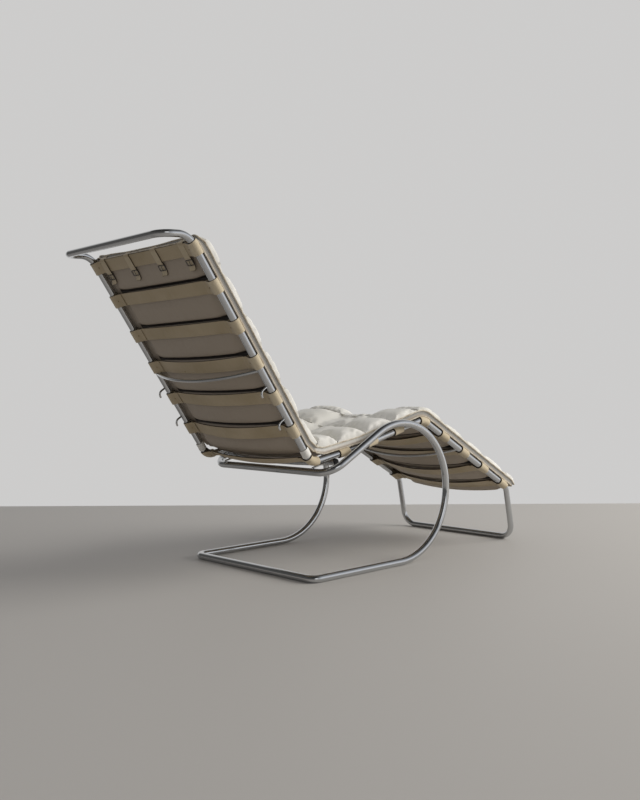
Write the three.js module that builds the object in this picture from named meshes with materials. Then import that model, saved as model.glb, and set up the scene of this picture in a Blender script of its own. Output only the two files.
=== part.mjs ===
// Adjustable lounge chair in bent steel tube: a cantilever base loop carries a long upper loop,
// which is slung with leather straps and holds one channelled leather pad.
//
// Millimetres, +Z up. The feet point to -Y and the sitter's left is +X.
// The side view is drawn from the elbow, the corner between back and seat, and the whole chair
// is then moved so that the origin lies on the floor under the middle of its outer box.
import * as THREE from 'three';
import { mergeVertices } from 'three/addons/utils/BufferGeometryUtils.js';

// Base loop
const baseTube = 22.2;
const baseWidth = 574;
const rearBarSetback = 23.1;
const rearCornerRadius = 26;
const noseReach = 559.9;
const lowerNoseRadius = 222;
const upperNoseRadius = 208.8;
const armSlope = THREE.MathUtils.degToRad(28.76);
const armCornerRadius = 54.7;
const armReach = 52.7;

// Upper loop
const seatTube = 20;
const armGap = 8.9;
const elbowHeight = 341.7;
const elbowRadius = 34;
const backSlope = THREE.MathUtils.degToRad(56.73);
const backLength = 740.6;
const headRadius = 58;
const handleReach = 83.6;
const handleSlope = THREE.MathUtils.degToRad(-2.6);
const handleCornerRadius = 37;
const seatRearSlope = THREE.MathUtils.degToRad(9.5);
const seatRearLength = 199.7;
const seatBlendRadius = 400;
const seatFrontSlope = THREE.MathUtils.degToRad(14.5);
const seatFrontLength = 295;
const kneeRadius = 58;
const legSlope = THREE.MathUtils.degToRad(30.26);
const legLength = 506.2;
const ankleRadius = 43;
const footSplay = THREE.MathUtils.degToRad(10.4);
const footCornerRadius = 48;

// Leather straps
const strapWidth = 40;
const strapThickness = 3;
const strapJoin = 30;
const strapTail = 15;
const backStrapShares = [0.946, 0.791, 0.624, 0.469, 0.309, 0.154];
const backSagShares = [0, 0.006, 0.006, 0.037, 0.033, 0.047];
const seatStrapShares = [0.012, 0.268, 0.511, 0.756, 1.017];
const seatSagShares = [0.035, 0.027, 0.039, 0.043, 0.039];
const legStrapShares = [0.237, 0.47, 0.702, 0.948];
const legSagShares = [0.068, 0.031, 0.064, 0.047];

// Bowed bars that hold the sides of the upper loop apart
const stretcher = 10;
const backStretcherGap = 0.5;
const backStretcherSetback = 6;
const backStretcherBow = 45;
const legStretcherGap = 0.5;
const legStretcherBow = 37;
const seatStretcher = 20;
const seatStretcherGap = 4.6;
const seatStretcherBow = 10;
const plugThickness = 3;

// Hooks for the base's crossbar
const hookWire = 6;
const hookClearance = 1.9;
const hookRowShares = [0.365, 0.217];
const hookTip = 3;
const lowerHookShare = 0.749;
const lowerHookWrap = THREE.MathUtils.degToRad(16);

// Pad
const padOverhang = 5;
const padFootOverhang = 40;
const pipingHeight = 18;
const padThickness = 38;
const middleThickness = 32;
const seamThickness = 19;
const backFullShares = [1, 1, 1, 1, 1, 1];
const seatFullShares = [1.3, 1.2, 1.05, 0.82];
const legFullShares = [0.9, 0.92, 0.92, 0.95, 0.9];
const undersideShoulder = 17;
const rollShoulder = 8;
const sidePull = 3;
const elbowTuck = 38;
const elbowLift = 13;
const padFlatShare = 0.84;
const padRidgeShare = 0.9;
const padHollowShare = 0.44;
const shoulderShare = 0.75;

// Loops that hold the pad to the tubes above the elbow
const loopWidth = 26;
const loopThickness = 2.5;

// Tie straps that hold the pad's upper end
const tieWidth = 26;
const tieThickness = 2.5;
const tieTail = 32;
const tieSpreadShares = [-0.398, -0.136, 0.136, 0.398];
const buckleWidth = 32;
const buckleHeight = 18;
const buckleWire = 3;

// Fits and facets
const fit = 0.3;
const padFit = 0.5;
const baseSides = 16;
const wireSides = 10;
const wrapSteps = 9;
const bendStep = THREE.MathUtils.degToRad(11);
const bendSpare = 3;
const bowSteps = 10;

const chrome = { color: 0xc9cccd, roughness: 0.12, metalness: 1 };
const strapLeather = { color: 0xc3ae86, roughness: 0.62, metalness: 0 };
const darkPlastic = { color: 0x1d1c1b, roughness: 0.5, metalness: 0 };
const padLeather = { color: 0xe8e4da, roughness: 0.48, metalness: 0 };

const chair = new THREE.Group();

function addPiece(name, geometry, finish) {
  const bare = geometry.clone();
  bare.deleteAttribute('normal');
  bare.deleteAttribute('uv');
  const mesh = new THREE.Mesh(mergeVertices(bare, fit / 100), new THREE.MeshStandardMaterial(finish));
  mesh.name = name;
  chair.add(mesh);
  return mesh;
}

// A point of the side view, y forwards or back and z up, at a distance across the chair
const sidePoint = (x, point) => new THREE.Vector3(x, point.x, point.y);

// The stations of a bent tube: straight runs between corners that are rounded to their radii.
// A station is a place and the tube's direction there, so a sweep has rings only where it bends.
// Where one bend runs straight into the next, their shared station is kept once.
function bentStations(corners, radii, closed) {
  const stations = [];
  const addStation = (place, heading) => {
    const last = stations[stations.length - 1];
    if (!last || last.place.distanceTo(place) > fit) stations.push({ place, heading });
  };
  const count = corners.length;
  for (let i = 0; i < count; i += 1) {
    const atEnd = !closed && (i === 0 || i === count - 1);
    const before = corners[(i + count - 1) % count];
    const after = corners[(i + 1) % count];
    const into = corners[i].clone().sub(before).normalize();
    const out = after.clone().sub(corners[i]).normalize();
    const turn = into.angleTo(out);
    if (atEnd || radii[i] === 0) {
      addStation(corners[i].clone(), i === 0 ? out : into);
      continue;
    }
    const setback = radii[i] * Math.tan(turn / 2);
    const start = corners[i].clone().addScaledVector(into, -setback);
    const axis = into.clone().cross(out).normalize();
    const spoke = axis.clone().cross(into).multiplyScalar(-radii[i]);
    const centre = start.clone().sub(spoke);
    const steps = Math.max(2, Math.ceil(turn / bendStep));
    for (let k = 0; k <= steps; k += 1) {
      const angle = turn * k / steps;
      const place = spoke.clone().applyAxisAngle(axis, angle).add(centre);
      addStation(place, into.clone().applyAxisAngle(axis, angle));
    }
  }
  return stations;
}

// A sweep route that visits the stations one by one. The section's frame is turned by half a
// facet and a given roll, so that a many-sided tube lies flat on the floor.
class StationRoute extends THREE.Curve {
  constructor(stations, sides, closed, roll = 0) {
    super();
    this.stations = stations;
    this.turn = roll + (sides ? Math.PI / sides : 0);
    this.closed = closed;
    this.steps = closed ? stations.length : stations.length - 1;
  }

  station(u) {
    return this.stations[Math.round(u * this.steps) % this.stations.length];
  }

  getPointAt(u, target = new THREE.Vector3()) {
    return target.copy(this.station(u).place);
  }

  getTangentAt(u, target = new THREE.Vector3()) {
    return target.copy(this.station(u).heading);
  }

  computeFrenetFrames(segments, closed) {
    const frames = super.computeFrenetFrames(segments, closed);
    for (let i = 0; i <= segments; i += 1) {
      frames.normals[i].applyAxisAngle(frames.tangents[i], this.turn);
      frames.binormals[i].applyAxisAngle(frames.tangents[i], this.turn);
    }
    return frames;
  }
}

// The corner radius of a many-sided section whose flats lie at the tube's true radius
const overFlats = (diameter, sides) => diameter / 2 / Math.cos(Math.PI / sides);

function tubeLoop(corners, radii, diameter) {
  const stations = bentStations(corners, radii, true);
  const route = new StationRoute(stations, baseSides, true);
  return new THREE.TubeGeometry(route, route.steps, overFlats(diameter, baseSides), baseSides, true);
}

function rod(stations, diameter, sides = wireSides, roll = 0) {
  const route = new StationRoute(stations, sides, false, roll);
  const ring = [];
  for (let i = 0; i < sides; i += 1) {
    const angle = 2 * Math.PI * i / sides;
    const radius = overFlats(diameter, sides);
    ring.push(new THREE.Vector2(radius * Math.cos(angle), radius * Math.sin(angle)));
  }
  const options = { steps: route.steps, extrudePath: route, bevelEnabled: false };
  return new THREE.ExtrudeGeometry(new THREE.Shape(ring), options);
}

// Both sides of a loop, from the corners of one side listed from its first crossbar to its last
function mirrored(sideCorners, sideRadii, halfWidth, firstZ) {
  const left = sideCorners.map((corner) => sidePoint(halfWidth, corner));
  const right = sideCorners.map((corner) => sidePoint(-halfWidth, corner)).reverse();
  const start = new THREE.Vector3(0, sideCorners[0].x, firstZ);
  return {
    corners: [start, ...left, ...right],
    radii: [0, ...sideRadii, ...[...sideRadii].reverse()],
  };
}

// Base loop: rear floor bar, two runners, two rising noses, two arms that fall back to the
// crossbar under the seat
const baseRadius = baseTube / 2;
const baseHalf = baseWidth / 2;
const noseTurn = Math.PI / 2 + armSlope;
const noseTop = baseRadius + lowerNoseRadius + upperNoseRadius * Math.tan(noseTurn / 2);
const crossbar = new THREE.Vector2(-armReach, noseTop - (noseReach - armReach) * Math.tan(armSlope));
const baseSide = mirrored(
  [
    new THREE.Vector2(rearBarSetback, baseRadius),
    new THREE.Vector2(-noseReach, baseRadius),
    new THREE.Vector2(-noseReach, noseTop),
    crossbar,
  ],
  [rearCornerRadius, lowerNoseRadius, upperNoseRadius, armCornerRadius],
  baseHalf,
  baseRadius,
);
addPiece('base_frame', tubeLoop(baseSide.corners, baseSide.radii, baseTube), chrome);

// Upper loop in side view, from the head bar to the foot bar. It is made from four bent tubes
// that butt under straps: the head bar, two side rails and the foot loop.
const seatRadius = seatTube / 2;
const seatHalf = baseHalf - baseRadius - armGap - seatRadius;
const seatWidth = 2 * seatHalf;
const along = (from, angle, length) => new THREE.Vector2(
  from.x + length * Math.cos(angle),
  from.y + length * Math.sin(angle),
);
const elbow = new THREE.Vector2(0, elbowHeight);
const head = along(elbow, backSlope, backLength);
const handle = along(head, handleSlope, handleReach);
const seatBlend = along(elbow, Math.PI - seatRearSlope, seatRearLength);
const knee = along(seatBlend, Math.PI - seatFrontSlope, seatFrontLength);
const ankle = along(knee, Math.PI + legSlope, legLength);
const footDrop = ankle.y - seatRadius;
const foot = new THREE.Vector2(ankle.x - footDrop * Math.tan(footSplay), seatRadius);
const onBack = (distance) => along(elbow, backSlope, distance);
const onLeg = (distance) => along(knee, Math.PI + legSlope, distance);
const headJoint = backStrapShares[0] * backLength;
const ankleTurn = Math.PI / 2 - footSplay - legSlope;
const footJoint = legLength - ankleRadius * Math.tan(ankleTurn / 2) - strapThickness;

// A bent tube that goes over the chair from a butt joint on one side to the other side's
function crossTube(sideCorners, radii, roll) {
  const left = sideCorners.map((corner) => sidePoint(seatHalf, corner));
  const right = sideCorners.map((corner) => sidePoint(-seatHalf, corner)).reverse();
  const stations = bentStations([...left, ...right], [...radii, ...[...radii].reverse()], false);
  return rod(stations, seatTube, baseSides, roll);
}
addPiece(
  'head_bar',
  crossTube([onBack(headJoint + fit / 2), head, handle], [0, headRadius, handleCornerRadius], 0),
  chrome,
);
addPiece(
  'foot_loop',
  crossTube([onLeg(footJoint + fit / 2), ankle, foot], [0, ankleRadius, footCornerRadius], -footSplay),
  chrome,
);
const railCorners = [onBack(headJoint - fit / 2), elbow, seatBlend, knee, onLeg(footJoint - fit / 2)];
const railRadii = [0, elbowRadius, seatBlendRadius, kneeRadius, 0];
for (const [side, x] of Object.entries({ left: seatHalf, right: -seatHalf })) {
  const corners = railCorners.map((corner) => sidePoint(x, corner));
  const stations = bentStations(corners, railRadii, false);
  addPiece(`rail_${side}`, rod(stations, seatTube, baseSides, Math.PI / baseSides), chrome);
}

// One side of the upper loop as a line that is measured from its corners
const sideCorners = [handle, head, elbow, seatBlend, knee, ankle, foot];
const sideRadii = [0, headRadius, elbowRadius, seatBlendRadius, kneeRadius, ankleRadius, 0];
const sideStations = bentStations(sideCorners.map((corner) => sidePoint(0, corner)), sideRadii, false);
const sideLengths = [0];
for (let i = 1; i < sideStations.length; i += 1) {
  const step = sideStations[i].place.distanceTo(sideStations[i - 1].place);
  sideLengths.push(sideLengths[i - 1] + step);
}

// The tube's place and heading at a length along its side line
function sideAt(length) {
  let i = 1;
  while (i < sideLengths.length - 1 && sideLengths[i] < length) i += 1;
  const share = (length - sideLengths[i - 1]) / (sideLengths[i] - sideLengths[i - 1]);
  const place = sideStations[i - 1].place.clone().lerp(sideStations[i].place, share);
  const heading = sideStations[i - 1].heading.clone().lerp(sideStations[i].heading, share).normalize();
  return { place, heading };
}

// The length along the side line of the point nearest to a place on the corner lines
function lengthNear(point) {
  const target = sidePoint(0, point);
  let best = 0;
  let least = Infinity;
  for (let i = 1; i < sideStations.length; i += 1) {
    const run = new THREE.Line3(sideStations[i - 1].place, sideStations[i].place);
    const share = run.closestPointToPointParameter(target, true);
    const gap = run.at(share, new THREE.Vector3()).distanceTo(target);
    if (gap < least) {
      least = gap;
      best = sideLengths[i - 1] + share * (sideLengths[i] - sideLengths[i - 1]);
    }
  }
  return best;
}

// A length that falls close to a ring of a bend is moved to it
const onRing = (length) => sideLengths.find((ring) => Math.abs(ring - length) < bendSpare) ?? length;

// Places along the seat, by distance from the elbow
const seatLength = seatRearLength + seatFrontLength;
const onSeat = (distance) => (distance < seatRearLength
  ? along(elbow, Math.PI - seatRearSlope, distance)
  : along(seatBlend, Math.PI - seatFrontSlope, distance - seatRearLength));

const strapPlaces = [
  ...backStrapShares.map((share, i) => ({ at: onBack(share * backLength), sagShare: backSagShares[i] })),
  ...seatStrapShares.map((share, i) => ({ at: onSeat(share * seatLength), sagShare: seatSagShares[i] })),
  ...legStrapShares.map((share, i) => ({ at: onLeg(share * legLength), sagShare: legSagShares[i] })),
];

// The middle line of a strap seen along the tube, x across and y away from the sitter: from the
// end of one tail, round one tube, across the sagging span and round the other tube
const wrapMiddle = overFlats(seatTube, baseSides) + fit + strapThickness / 2;
const layerOffset = (strapThickness + fit) / 2;
const joinAngle = Math.acos(wrapMiddle / Math.hypot(strapJoin, layerOffset));
const wrapStart = joinAngle + Math.atan2(layerOffset, strapJoin);
const wrapStep = (2 * Math.PI - 2 * wrapStart) / wrapSteps;
const wrapCorner = wrapMiddle / Math.cos(wrapStep / 2);
const wrapOuter = (wrapMiddle + strapThickness / 2) / Math.cos(wrapStep / 2);
const spanHalf = seatHalf - strapJoin;
const spanShares = [1, 0.84, 0.64, 0.44, 0.22, 0];
const sagAt = (x, sag) => sag * Math.max(0, 1 - (x / spanHalf) ** 2);

function strapMiddleLine(sag) {
  const half = [];
  const tailEnd = spanHalf - strapTail;
  half.push(new THREE.Vector2(tailEnd, layerOffset + sagAt(tailEnd, sag)));
  half.push(new THREE.Vector2(spanHalf, layerOffset));
  for (let i = 0; i <= wrapSteps; i += 1) {
    const angle = wrapStart + wrapStep * i;
    half.push(new THREE.Vector2(seatHalf - wrapCorner * Math.cos(angle), wrapCorner * Math.sin(angle)));
  }
  for (const share of spanShares) {
    const x = share * spanHalf;
    half.push(new THREE.Vector2(x, sagAt(x, sag) - layerOffset));
  }
  const other = half.slice(0, -1).reverse().map((point) => new THREE.Vector2(-point.x, point.y));
  return [...half, ...other];
}

// A band of even thickness along a middle line
function bandShape(line, thickness) {
  const left = [];
  const right = [];
  for (let i = 0; i < line.length; i += 1) {
    const before = line[Math.max(0, i - 1)];
    const after = line[Math.min(line.length - 1, i + 1)];
    const into = line[i].clone().sub(before);
    const out = after.clone().sub(line[i]);
    if (i === 0) into.copy(out);
    if (i === line.length - 1) out.copy(into);
    into.normalize();
    out.normalize();
    const side = new THREE.Vector2(-into.y - out.y, into.x + out.x).normalize();
    const reach = thickness / 2 / Math.max(side.dot(new THREE.Vector2(-into.y, into.x)), 0.5);
    left.push(line[i].clone().addScaledVector(side, reach));
    right.unshift(line[i].clone().addScaledVector(side, -reach));
  }
  return new THREE.Shape([...left, ...right]);
}

// Straps follow the tube where it bends under them
strapPlaces.forEach((strap, index) => {
  const middle = lengthNear(strap.at);
  const start = onRing(middle - strapWidth / 2);
  const end = onRing(middle + strapWidth / 2);
  const inside = sideLengths.filter((length) => length > start + bendSpare && length < end - bendSpare);
  const lengths = [start, ...inside, end];
  const route = new StationRoute(lengths.map(sideAt), 0, false);
  const shape = bandShape(strapMiddleLine(strap.sagShare * seatWidth), strapThickness);
  const options = { steps: route.steps, extrudePath: route, bevelEnabled: false };
  const name = `strap_${String(index + 1).padStart(2, '0')}`;
  addPiece(name, new THREE.ExtrudeGeometry(shape, options), strapLeather);
});

// Directions in the side view: away from the sitter, square to the back
const awayFromBack = new THREE.Vector2(Math.sin(backSlope), -Math.cos(backSlope));
const offBack = (distance, away) => onBack(distance).addScaledVector(awayFromBack, away);
const awayFromSeat = new THREE.Vector2(-Math.sin(seatRearSlope), -Math.cos(seatRearSlope));
const awayFromLeg = new THREE.Vector2(Math.sin(legSlope), -Math.cos(legSlope));

// A rod bowed away from the sitter between the two sides of the upper loop, with its ends cut
// parallel to the sides
function bowedRod(middle, away, half, bow, diameter) {
  const sweep = 2 * Math.atan(bow / half);
  const radius = half / Math.sin(sweep);
  const steps = Math.max(bowSteps, Math.ceil(2 * sweep / bendStep) * 2);
  const stations = [];
  for (let i = 0; i <= steps; i += 1) {
    const angle = sweep * (2 * i / steps - 1);
    const reach = radius * (Math.cos(angle) - Math.cos(sweep));
    const place = sidePoint(radius * Math.sin(angle), middle.clone().addScaledVector(away, reach));
    const slant = i === 0 || i === steps ? 0 : Math.sin(angle);
    const heading = sidePoint(Math.cos(angle), away.clone().multiplyScalar(-slant)).normalize();
    stations.push({ place, heading });
  }
  return rod(stations, diameter);
}

// The two thin stretchers butt against the inner sides of the tubes, each just below a strap
const tubeCorner = overFlats(seatTube, baseSides);
const stretcherHalf = seatHalf - tubeCorner - fit;
const besideStrap = strapWidth / 2 + stretcher / 2;
const backStretcherPlace = backStrapShares[3] * backLength - besideStrap - backStretcherGap;
const legStretcherPlace = legStrapShares[1] * legLength - besideStrap - legStretcherGap;
const backStretcherEnd = offBack(backStretcherPlace, backStretcherSetback);
addPiece(
  'back_stretcher',
  bowedRod(backStretcherEnd, awayFromBack, stretcherHalf, backStretcherBow, stretcher),
  chrome,
);
addPiece(
  'leg_stretcher',
  bowedRod(onLeg(legStretcherPlace), awayFromLeg, stretcherHalf, legStretcherBow, stretcher),
  chrome,
);

// The thick stretcher is a piece of the same tube. It runs under the seat rails and carries the
// lower hooks, and a plug closes each of its ends.
const seatStretcherPlace = seatStrapShares[1] * seatLength - strapWidth / 2 - seatStretcher / 2
  - seatStretcherGap;
const seatStretcherCorner = overFlats(seatStretcher, wireSides);
const seatStretcherDrop = tubeCorner + seatStretcherCorner + fit;
const seatStretcherMiddle = onSeat(seatStretcherPlace).addScaledVector(awayFromSeat, seatStretcherDrop);
addPiece(
  'seat_stretcher',
  bowedRod(seatStretcherMiddle, awayFromSeat, seatHalf, seatStretcherBow, seatStretcher),
  chrome,
);

for (const [side, way] of Object.entries({ left: 1, right: -1 })) {
  const heading = new THREE.Vector3(way, 0, 0);
  const stations = [fit, fit + plugThickness].map((reach) => (
    { place: sidePoint(way * (seatHalf + reach), seatStretcherMiddle), heading }
  ));
  addPiece(`plug_${side}`, rod(stations, seatStretcher, baseSides), darkPlastic);
}

// Four hooks stand on the back tubes. Each goes straight out, turns down round the space for the
// crossbar and ends in a short tip.
const hookBend = overFlats(baseTube, baseSides) + overFlats(hookWire, wireSides) + fit;
const hookCentre = seatRadius + hookClearance + baseRadius;
const hookRows = { upper: hookRowShares[0], middle: hookRowShares[1] };
for (const [row, share] of Object.entries(hookRows)) {
  const place = share * backLength;
  for (const [side, x] of Object.entries({ left: seatHalf, right: -seatHalf })) {
    const corners = [
      offBack(place, tubeCorner + fit),
      offBack(place, hookCentre + hookBend),
      offBack(place - hookBend - hookTip, hookCentre + hookBend),
    ].map((corner) => sidePoint(x, corner));
    addPiece(`hook_${row}_${side}`, rod(bentStations(corners, [0, hookBend, 0], false), hookWire), chrome);
  }
}

// The lower hooks leave the thick stretcher and lie round the top of the base's crossbar, which
// is the line that the upper loop tips on
const lowerHookX = lowerHookShare * baseHalf;
const lowerHookRise = seatStretcherBow * (1 - (lowerHookX / seatHalf) ** 2);
const hookRoot = seatStretcherMiddle.clone().addScaledVector(awayFromSeat, lowerHookRise);
const toCrossbar = crossbar.clone().sub(hookRoot);
const hookHeading = toCrossbar.angle() + Math.asin(hookBend / toCrossbar.length());
for (const [side, x] of Object.entries({ left: lowerHookX, right: -lowerHookX })) {
  const heading = (angle) => sidePoint(0, new THREE.Vector2(Math.cos(angle), Math.sin(angle)));
  const start = along(hookRoot, hookHeading, seatStretcherCorner + fit);
  const stations = [{ place: sidePoint(x, start), heading: heading(hookHeading) }];
  const steps = Math.ceil(lowerHookWrap / bendStep);
  for (let i = 0; i <= steps; i += 1) {
    const turned = hookHeading - lowerHookWrap * i / steps;
    const place = sidePoint(x, along(crossbar, turned + Math.PI / 2, hookBend));
    stations.push({ place, heading: heading(turned) });
  }
  addPiece(`hook_lower_${side}`, rod(stations, hookWire), chrome);
}

// Pad: one long cushion with a sewn channel at the upper edge of each strap and a roll between
// each two channels. Its sections stand square to the upper loop. The ones inside the elbow are
// left out but one, which makes the crease and stands off the strap there.
const padHalf = seatHalf + padOverhang;
const strapMiddles = strapPlaces.map((strap) => lengthNear(strap.at));
const strapSags = strapPlaces.map((strap) => strap.sagShare * seatWidth);
const elbowMiddle = lengthNear(elbow);
const ankleStart = lengthNear(onLeg(legLength - ankleRadius * Math.tan(ankleTurn / 2)));
const padStart = strapMiddles[0] - strapWidth / 2 - fit;
const padEnd = lengthNear(ankle) + padFootOverhang;

// The side line, carried on straight past the ankle
function padLineAt(length) {
  if (length < ankleStart) return sideAt(length);
  const last = sideAt(ankleStart);
  const place = last.place.clone().addScaledVector(last.heading, length - ankleStart);
  return { place, heading: last.heading };
}

function sagBetweenStraps(length) {
  const last = strapMiddles.length - 1;
  const flat = strapWidth / 2;
  if (length <= strapMiddles[0]) return strapSags[0];
  if (length >= strapMiddles[last]) return strapSags[last];
  const i = strapMiddles.findIndex((middle) => middle >= length);
  const from = strapMiddles[i - 1] + flat;
  const to = strapMiddles[i] - flat;
  return THREE.MathUtils.mapLinear(
    THREE.MathUtils.clamp(length, from, to), from, to, strapSags[i - 1], strapSags[i],
  );
}

const seamPlaces = strapMiddles.map((middle) => onRing(middle - strapWidth / 2));
seamPlaces[0] = padStart;
seamPlaces[backStrapShares.length] = elbowMiddle;
const seams = [...seamPlaces, padEnd];
const fullShares = [...backFullShares, ...seatFullShares, ...legFullShares];

// How full a roll is at a length, 0 on a seam and 1 in the middle of a roll, and how thick the
// roll is at the pad's sides
function rollAt(length) {
  const i = seams.findIndex((seam, k) => k > 0 && seam >= length - fit);
  const share = THREE.MathUtils.clamp((length - seams[i - 1]) / (seams[i] - seams[i - 1]), 0, 1);
  const full = Math.sqrt(1 - (2 * share - 1) ** 2);
  return { full, thickness: padThickness * fullShares[i - 1] };
}

const padLengths = [];
seams.forEach((seam, i) => {
  padLengths.push(seam);
  if (i + 1 < seams.length) padLengths.push((seam + seams[i + 1]) / 2);
});
strapMiddles.forEach((middle) => padLengths.push(onRing(middle + strapWidth / 2)));
padLengths.push(...sideLengths.filter((length) => length > padStart && length <= ankleStart));
const padStations = padLengths
  .filter((length) => length === elbowMiddle || Math.abs(length - elbowMiddle) > elbowTuck)
  .sort((a, b) => a - b)
  .filter((length, i, all) => i === 0 || length - all[i - 1] > fit);

// The pad's outline at one length, x across and y towards the sitter, listed from the middle of
// its underside round to the middle of its top
const padRest = wrapOuter + padFit;
const strapFace = layerOffset + strapThickness / 2 + padFit;
function padSection(length) {
  const sag = sagBetweenStraps(length);
  const { full, thickness } = rollAt(length);
  const lift = length === elbowMiddle ? elbowLift : 0;
  const floorAt = (x) => strapFace - sagAt(x, sag);
  const fatten = (thin, thick) => thin + (thick - thin) * full;
  const piping = padRest + pipingHeight;
  const ridge = padRest + fatten(seamThickness, thickness);
  const hollow = fatten(seamThickness, middleThickness);
  const inner = spanHalf * padFlatShare;
  const mid = spanHalf * padHollowShare;
  return [
    [0, floorAt(0)],
    [mid, floorAt(mid)],
    [inner, floorAt(inner)],
    [padHalf - undersideShoulder, padRest],
    [padHalf, padRest],
    [padHalf - sidePull, padRest + pipingHeight / 2],
    [padHalf, piping],
    [padHalf - rollShoulder, THREE.MathUtils.lerp(piping, ridge, shoulderShare)],
    [spanHalf * padRidgeShare, ridge],
    [mid, (ridge + floorAt(mid) + hollow) / 2],
    [0, floorAt(0) + hollow],
  ].map(([x, rise]) => [x, rise + lift]);
}

function padGeometry() {
  const places = [];
  const faces = [];
  let ringSize = 0;
  let section = [];
  padStations.forEach((length) => {
    const { place, heading } = padLineAt(length);
    const up = new THREE.Vector3(0, heading.z, -heading.y);
    const half = padSection(length);
    const other = half.slice(1, -1).reverse().map(([x, rise]) => [-x, rise]);
    section = [...half, ...other];
    ringSize = section.length;
    for (const [x, rise] of section) {
      const point = place.clone().addScaledVector(up, rise);
      places.push(x, point.y, point.z);
    }
  });
  for (let i = 0; i + 1 < padStations.length; i += 1) {
    for (let k = 0; k < ringSize; k += 1) {
      const a = i * ringSize + k;
      const b = i * ringSize + (k + 1) % ringSize;
      faces.push(a, b, a + ringSize, b, b + ringSize, a + ringSize);
    }
  }
  const outline = section.map(([x, rise]) => new THREE.Vector2(x, rise));
  const lastRing = (padStations.length - 1) * ringSize;
  for (const [a, b, c] of THREE.ShapeUtils.triangulateShape(outline, [])) {
    faces.push(a, c, b);
    faces.push(lastRing + a, lastRing + b, lastRing + c);
  }
  const geometry = new THREE.BufferGeometry();
  geometry.setAttribute('position', new THREE.Float32BufferAttribute(places, 3));
  geometry.setIndex(faces);
  return geometry;
}
addPiece('pad', padGeometry(), padLeather);

// Two loops of the pad's leather, sewn to its lower piping, go round the back tubes just above
// the elbow
const loopInner = tubeCorner + fit;
const loopOuter = loopInner + loopThickness;
const loopRing = new THREE.Shape().absarc(0, 0, loopOuter, 0, 2 * Math.PI);
loopRing.holes.push(new THREE.Path().absarc(0, 0, loopInner, 0, 2 * Math.PI));
const loopEnd = elbowRadius * Math.tan((backSlope + seatRearSlope) / 2);
for (const [side, x] of Object.entries({ left: seatHalf, right: -seatHalf })) {
  const stations = [loopEnd + loopWidth, loopEnd].map((distance) => (
    { place: sidePoint(x, onBack(distance)), heading: sidePoint(0, onBack(0).sub(onBack(1))) }
  ));
  const route = new StationRoute(stations, baseSides, false);
  const options = { steps: 1, curveSegments: baseSides, extrudePath: route, bevelEnabled: false };
  addPiece(`pad_loop_${side}`, new THREE.ExtrudeGeometry(loopRing, options), padLeather);
}

// Ties: each is a strip sewn to the pad's end, taken over the first strap and buckled to the
// pad's back
const firstStrap = backStrapShares[0] * backLength;
const tieBehind = layerOffset + strapThickness / 2 + fit + tieThickness / 2;
const tieUnder = firstStrap - strapWidth / 2 - fit - tieThickness;
const padSagUnderTie = sagBetweenStraps(lengthNear(onBack(tieUnder - tieTail)));
const tieOnPad = fit + tieThickness / 2 - strapFace + padSagUnderTie;
const padTop = padLineAt(padStart);
function overPadTop(towardsSitter) {
  const point = padTop.place.clone().addScaledVector(padTop.heading, -fit - tieThickness / 2);
  point.y += padTop.heading.z * towardsSitter;
  point.z -= padTop.heading.y * towardsSitter;
  return new THREE.Vector2(point.y, point.z);
}
const tieLine = [
  overPadTop(padRest),
  overPadTop(-tieBehind),
  offBack(tieUnder, tieBehind),
  offBack(tieUnder - 2 * tieThickness, tieOnPad),
  offBack(tieUnder - tieTail, tieOnPad),
];
const acrossChair = new THREE.Matrix4().makeBasis(
  new THREE.Vector3(0, 1, 0), new THREE.Vector3(0, 0, 1), new THREE.Vector3(1, 0, 0),
);
const flatOnBack = new THREE.Matrix4().makeBasis(
  new THREE.Vector3(1, 0, 0),
  new THREE.Vector3(0, Math.cos(backSlope), Math.sin(backSlope)),
  new THREE.Vector3(0, -Math.sin(backSlope), Math.cos(backSlope)),
);

function framePath(Kind, width, height) {
  const path = new Kind();
  path.moveTo(-width / 2, -height / 2);
  path.lineTo(width / 2, -height / 2);
  path.lineTo(width / 2, height / 2);
  path.lineTo(-width / 2, height / 2);
  path.closePath();
  return path;
}

tieSpreadShares.forEach((share, index) => {
  const x = share * seatWidth;
  const across = { depth: tieWidth, bevelEnabled: false };
  const strip = new THREE.ExtrudeGeometry(bandShape(tieLine, tieThickness), across);
  strip.applyMatrix4(acrossChair);
  strip.translate(x - tieWidth / 2, 0, 0);
  addPiece(`tie_${index + 1}`, strip, strapLeather);

  const ring = framePath(THREE.Shape, buckleWidth, buckleHeight);
  ring.holes.push(framePath(THREE.Path, buckleWidth - 2 * buckleWire, buckleHeight - 2 * buckleWire));
  const buckle = new THREE.ExtrudeGeometry(ring, { depth: buckleWire, bevelEnabled: false });
  buckle.applyMatrix4(flatOnBack);
  const lift = tieOnPad + tieThickness / 2 + fit + buckleWire;
  const seat = offBack(tieUnder - tieTail / 2, lift);
  buckle.translate(x, seat.x, seat.y);
  addPiece(`buckle_${index + 1}`, buckle, chrome);
});

// The origin goes under the middle of the outer box
const box = new THREE.Box3().setFromObject(chair);
chair.position.y = -(box.min.y + box.max.y) / 2;

export default chair;
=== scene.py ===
import math

import bmesh
import bpy
from mathutils import Matrix, Vector, noise


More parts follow.
